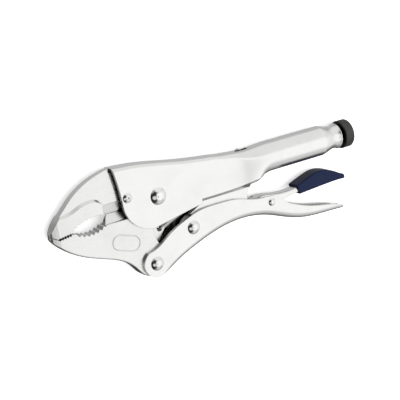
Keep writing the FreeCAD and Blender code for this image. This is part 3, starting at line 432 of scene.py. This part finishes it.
def rim_loop(centre_x, centre_y, half_length, half_width, tilt, level, thick, material):
    """A closed bead along a stadium outline, half sunk in the flat side and a little flattened."""
    spots = []
    for end, start in ((1.0, -90.0), (-1.0, 90.0)):
        for step in range(RIM_ARC_STEPS + 1):
            angle = math.radians(start + 180.0 * step / RIM_ARC_STEPS)
            spots.append((end * (half_length - half_width) + half_width * math.cos(angle),
                          half_width * math.sin(angle)))
    lean = math.radians(tilt)
    vertices, faces = [], []
    for number, (x, y) in enumerate(spots):
        before, after = Vector(spots[number - 1]), Vector(spots[(number + 1) % len(spots)])
        run = (after - before).normalized()
        outward = Vector((run.y, -run.x))
        for side in range(RIM_SIDES):
            angle = 2.0 * math.pi * side / RIM_SIDES
            spot = Vector((x, y)) + outward * (thick * math.cos(angle))
            vertices.append(place(
                centre_x + spot.x * math.cos(lean) - spot.y * math.sin(lean),
                centre_y + spot.x * math.sin(lean) + spot.y * math.cos(lean),
                level + thick * RIM_FLATTENING * math.sin(angle),
            ))
    for ring in range(len(spots)):
        for side in range(RIM_SIDES):
            a = ring * RIM_SIDES + side
            b = ring * RIM_SIDES + (side + 1) % RIM_SIDES
            c = ((ring + 1) % len(spots)) * RIM_SIDES
            faces.append((a, c + side, c + (side + 1) % RIM_SIDES, b))
    return mesh_object("medallion_rim", vertices, faces, material)


rim = rim_loop(
    -63.0, -12.4, half_length=10.2, half_width=5.2, tilt=-19.0, level=4.78, thick=0.42, material=JAW_PLATE
)
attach(rim, "jaw")


# ------------------------------------------------------------------ knob
# A dark knob with a fine straight knurl round its rim and a shallow dish in its end.

KNOB = [
    (0.0, 0.0), (0.0, 4.2), (0.0, 9.9), (0.25, 10.25), (0.7, 10.45), (7.2, 10.45), (7.7, 10.25), (8.0, 9.8),
    (8.0, 8.2), (7.6, 7.8), (7.6, 0.0),
]
KNURL_MIDDLE = 129.25
KNURL_RIDGES = 72
knob = lathe("knob_turned", KNOB, place(125.3, TUBE_AXIS), (1, 0, 0), (0, 1, 0), KNOB_STEEL, 96, 25.0)


def knurl_tree():
    """One ridge, repeated evenly round the X axis of the tube."""
    tree = bpy.data.node_groups.new("knurl", "GeometryNodeTree")
    tree.interface.new_socket("Geometry", in_out="INPUT", socket_type="NodeSocketGeometry")
    count = tree.interface.new_socket("Ridges", in_out="INPUT", socket_type="NodeSocketInt")
    count.default_value = KNURL_RIDGES
    finish = tree.interface.new_socket("Material", in_out="INPUT", socket_type="NodeSocketMaterial")
    finish.default_value = KNOB_STEEL
    tree.interface.new_socket("Geometry", in_out="OUTPUT", socket_type="NodeSocketGeometry")
    entry = tree.nodes.new("NodeGroupInput")
    leave = tree.nodes.new("NodeGroupOutput")
    ring = add(tree, "GeometryNodeMeshCircle")
    ring.inputs["Radius"].default_value = 0.01037
    tree.links.new(entry.outputs["Ridges"], ring.inputs["Vertices"])
    upright = add(tree, "GeometryNodeTransform")
    upright.inputs["Rotation"].default_value = (0.0, math.pi / 2.0, 0.0)
    middle = tuple(place(KNURL_MIDDLE, TUBE_AXIS))
    upright.inputs["Translation"].default_value = middle
    tree.links.new(ring.outputs[0], upright.inputs["Geometry"])
    ridge = add(tree, "GeometryNodeMeshCube")
    ridge.inputs["Size"].default_value = (0.0064, 0.00046, 0.00046)
    spot = add(tree, "GeometryNodeInputPosition")
    outwards = add(tree, "ShaderNodeVectorMath", operation="SUBTRACT", in_1=middle)
    tree.links.new(spot.outputs[0], outwards.inputs[0])
    aim = add(tree, "FunctionNodeAlignRotationToVector", axis="Z", pivot_axis="X")
    tree.links.new(outwards.outputs[0], aim.inputs["Vector"])
    copies = add(tree, "GeometryNodeInstanceOnPoints")
    tree.links.new(upright.outputs[0], copies.inputs["Points"])
    tree.links.new(ridge.outputs[0], copies.inputs["Instance"])
    tree.links.new(aim.outputs[0], copies.inputs["Rotation"])
    real = add(tree, "GeometryNodeRealizeInstances")
    tree.links.new(copies.outputs[0], real.inputs[0])
    paint = add(tree, "GeometryNodeSetMaterial")
    tree.links.new(real.outputs[0], paint.inputs["Geometry"])
    tree.links.new(entry.outputs["Material"], paint.inputs["Material"])
    tree.links.new(paint.outputs[0], leave.inputs[0])
    return tree


def built_by(tree, name, **values):
    """The mesh that a node tree makes with the given inputs, as a plain object."""
    holder = bpy.data.objects.new(name + "_holder", bpy.data.meshes.new(name + "_holder"))
    bpy.context.scene.collection.objects.link(holder)
    modifier = holder.modifiers.new(name, "NODES")
    modifier.node_group = tree
    for item in tree.interface.items_tree:
        if item.item_type == "SOCKET" and item.in_out == "INPUT" and item.name in values:
            modifier[item.identifier] = values[item.name]
    graph = bpy.context.evaluated_depsgraph_get()
    mesh = bpy.data.meshes.new_from_object(holder.evaluated_get(graph))
    bpy.data.objects.remove(holder)
    obj = bpy.data.objects.new(name, mesh)
    bpy.context.scene.collection.objects.link(obj)
    return obj


ridges = built_by(knurl_tree(), "knob_ridges", Ridges=KNURL_RIDGES)
for piece in (knob, ridges):
    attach(piece, "knob")
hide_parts("screw_knob")


# ------------------------------------------------------------------ floor
# A plain pale surface that the tool lies on.

floor_material = bpy.data.materials.new("floor")
floor_material.use_nodes = True
floor_shader = floor_material.node_tree.nodes["Principled BSDF"]
floor_shader.inputs["Base Color"].default_value = (0.9, 0.9, 0.9, 1.0)
floor_shader.inputs["Roughness"].default_value = 0.9
floor_shader.inputs["Specular IOR Level"].default_value = 0.0
floor_shader.inputs["Emission Color"].default_value = (1.0, 1.0, 1.0, 1.0)
floor_shader.inputs["Emission Strength"].default_value = 0.45
REACH = 3.0
floor = mesh_object(
    "floor",
    [(-REACH, -REACH, 0.0), (REACH, -REACH, 0.0), (REACH, REACH, 0.0), (-REACH, REACH, 0.0)],
    [(0, 1, 2, 3)],
    floor_material,
    False,
)


# ------------------------------------------------------------------ light
# A soft studio drawn in the sky: broad pale panels above, at the tail end and over the upper handle, weaker
# ones low down and at the nose, and dark between them. A small black flag gives the domed rivets their dark
# spot. Plated steel shows all this; the floor is lit by a wide lamp that plating doesn't show.

# Each panel: direction, angle up to which it is at full strength, angle at which it has faded out, strength.

PANELS = [
    ((0.49, -0.17, 0.85), 28.0, 52.0, 1.15),
    ((1.0, -0.15, 0.25), 22.0, 45.0, 0.95),
    ((-0.50, -0.25, 0.83), 10.0, 24.0, 0.8),
    ((0.47, 0.80, 0.28), 28.0, 52.0, 0.92),
    ((-0.50, 0.80, 0.10), 15.0, 40.0, 0.55),
    ((0.35, 0.35, -0.85), 28.0, 55.0, 0.55),
    ((0.45, -0.75, 0.45), 18.0, 40.0, 0.72),
    ((0.30, -0.90, 0.10), 15.0, 45.0, 0.32),
    ((-0.92, -0.10, -0.20), 12.0, 30.0, 0.60),
]
FLAG = (0.10, -0.17, 0.98)
FLAG_INNER, FLAG_OUTER = 3.0, 7.5
SKY_FLOOR = 0.03
world = bpy.data.worlds.new("sky")
bpy.context.scene.world = world
world.use_nodes = True
sky = world.node_tree
direction = add(sky, "ShaderNodeTexCoord")
total = None
for toward, inner, outer, strength in PANELS:
    dot = add(sky, "ShaderNodeVectorMath", operation="DOT_PRODUCT", in_1=tuple(Vector(toward).normalized()))
    sky.links.new(direction.outputs["Generated"], dot.inputs[0])
    spread = add(
        sky, "ShaderNodeMapRange", interpolation_type="SMOOTHSTEP",
        in_1=math.cos(math.radians(outer)), in_2=math.cos(math.radians(inner)), in_3=0.0, in_4=strength,
    )
    sky.links.new(dot.outputs["Value"], spread.inputs[0])
    if total is None:
        total = spread
    else:
        brighter = add(sky, "ShaderNodeMath", operation="MAXIMUM")
        sky.links.new(total.outputs[0], brighter.inputs[0])
        sky.links.new(spread.outputs[0], brighter.inputs[1])
        total = brighter
flag = add(sky, "ShaderNodeVectorMath", operation="DOT_PRODUCT", in_1=tuple(Vector(FLAG).normalized()))
sky.links.new(direction.outputs["Generated"], flag.inputs[0])
shade = add(
    sky, "ShaderNodeMapRange", interpolation_type="SMOOTHSTEP",
    in_1=math.cos(math.radians(FLAG_OUTER)), in_2=math.cos(math.radians(FLAG_INNER)), in_3=1.0, in_4=0.0,
)
sky.links.new(flag.outputs["Value"], shade.inputs[0])
flagged = add(sky, "ShaderNodeMath", operation="MULTIPLY")
sky.links.new(total.outputs[0], flagged.inputs[0])
sky.links.new(shade.outputs[0], flagged.inputs[1])
level = add(sky, "ShaderNodeMath", operation="ADD", in_1=SKY_FLOOR)
sky.links.new(flagged.outputs[0], level.inputs[0])
sky.nodes["Background"].inputs["Color"].default_value = (1.0, 1.0, 1.0, 1.0)
sky.links.new(level.outputs[0], sky.nodes["Background"].inputs["Strength"])

lamp = bpy.data.lights.new("floor_lamp", "AREA")
lamp.shape = "DISK"
lamp.size = 2.5
lamp.energy = 30.0
floor_lamp = bpy.data.objects.new("floor_lamp", lamp)
floor_lamp.location = (0.2, -0.1, 1.6)
floor_lamp.visible_glossy = False
bpy.context.scene.collection.objects.link(floor_lamp)
floor.visible_glossy = False
bpy.context.scene.view_settings.view_transform = "Standard"


# ------------------------------------------------------------------ camera
# Looks down on the flat side from the tail end and a little from above the upper handle.

turn, lift, roll = math.radians(30.0), math.radians(10.0), math.radians(10.3)
right = Vector((math.cos(turn), 0.0, math.sin(turn)))
up = Vector((math.sin(turn) * math.sin(lift), math.cos(lift), -math.cos(turn) * math.sin(lift)))
back = right.cross(up)
unroll = Matrix.Rotation(-roll, 3, "Z")
axes = Matrix((unroll @ right, unroll @ up, unroll @ back)).transposed()
camera = bpy.data.objects.new("camera", bpy.data.cameras.new("camera"))
bpy.context.scene.collection.objects.link(camera)
camera.data.sensor_width = 36.0
camera.data.lens = 36.0 * 1014.0 / 400.0
camera.matrix_world = Matrix.Translation(SHIFT / 1000.0 + axes.col[2] * 0.713) @ axes.to_4x4()
bpy.context.scene.camera = camera
